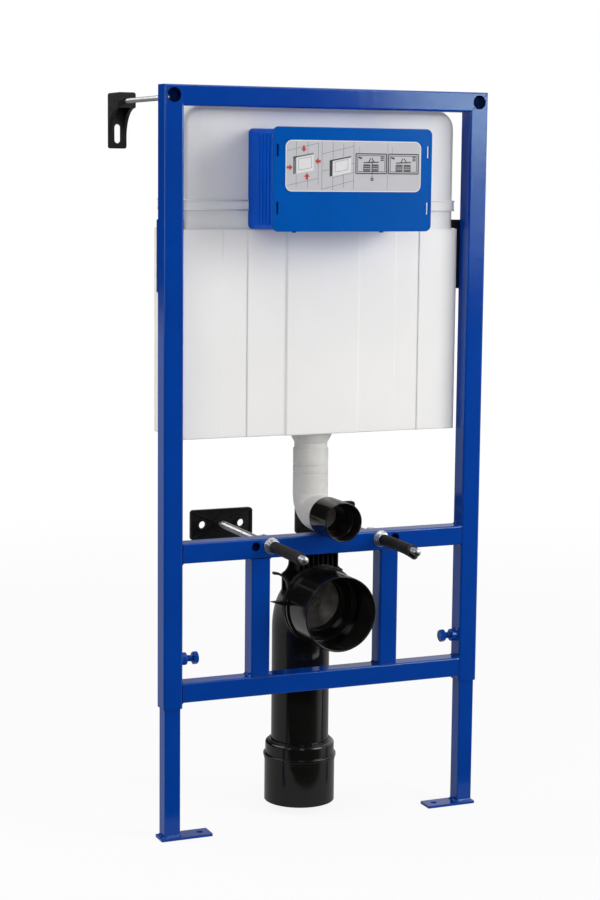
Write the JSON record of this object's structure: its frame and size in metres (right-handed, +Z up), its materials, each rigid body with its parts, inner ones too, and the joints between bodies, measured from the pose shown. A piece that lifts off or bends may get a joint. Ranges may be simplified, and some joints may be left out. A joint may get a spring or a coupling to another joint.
{
  "type": "wall hung toilet frame",
  "caption": "Free standing steel installation frame on telescopic legs with a concealed cistern, flush bend, drain bend and bowl studs for a wall hung toilet.",
  "frame": {"origin": "centre of the wall face of the left upper wall bracket, 1065 mm above the soles of the feet", "axes": "+X along the frame to the right seen from the room, +Y into the wall, +Z up"},
  "size_m": [0.525, 0.387, 1.112],
  "materials": {
    "blue_paint": "gloss powder coat",
    "zinc_steel": "zinc plated",
    "black_sleeve": "matte",
    "black_moulding": "fine grain",
    "black_pipe": "smooth",
    "white_pipe": "smooth",
    "white_tank": "blow moulded",
    "white_foam": "foam",
    "blue_plastic": "satin",
    "label_print": "printed film"
  },
  "bodies": {
    "frame": {"left_upright": "blue_paint", "right_upright": "blue_paint", "left_mullion": "blue_paint", "right_mullion": "blue_paint", "left_clamp_nut": "blue_paint", "right_clamp_nut": "blue_paint", "left_clamp_bolt": "blue_paint", "right_clamp_bolt": "blue_paint", "top_rail": "blue_paint", "upper_crossbar": "blue_paint", "lower_crossbar": "blue_paint", "left_stud": "zinc_steel", "right_stud": "zinc_steel", "left_front_nut": "zinc_steel", "right_front_nut": "zinc_steel", "left_rear_nut": "zinc_steel", "right_rear_nut": "zinc_steel", "left_top_rod": "zinc_steel", "right_top_rod": "zinc_steel", "left_sleeve": "black_sleeve", "right_sleeve": "black_sleeve", "left_wall_plate": "black_moulding", "right_wall_plate": "black_moulding", "left_top_bracket": "black_moulding", "right_top_bracket": "black_moulding", "left_cistern_hanger": "black_moulding", "right_cistern_hanger": "black_moulding", "drain_clip": "black_moulding", "drain_holder": "black_moulding", "drain_bend": "black_pipe", "drain_downpipe": "black_pipe", "drain_plug": "black_pipe", "drain_adaptor": "black_pipe", "flush_socket": "black_pipe", "flush_collar": "white_pipe", "flush_bend": "white_pipe", "flush_ring": "white_pipe", "cistern_tank": "white_tank", "insulation_jacket": "white_foam", "access_shaft": "blue_plastic", "access_cover": "blue_plastic", "cover_label": "label_print"},
    "left_leg": {"left_leg": "blue_paint", "left_foot": "blue_paint"},
    "right_leg": {"right_leg": "blue_paint", "right_foot": "blue_paint"}
  },
  "joints": [
    {"name": "left_leg_slide", "type": "slide", "parent": "frame", "child": "left_leg", "axis": [0, 0, 1], "range_m": [0, 0.19]},
    {"name": "right_leg_slide", "type": "slide", "parent": "frame", "child": "right_leg", "axis": [0, 0, 1], "range_m": [0, 0.19]}
  ]
}
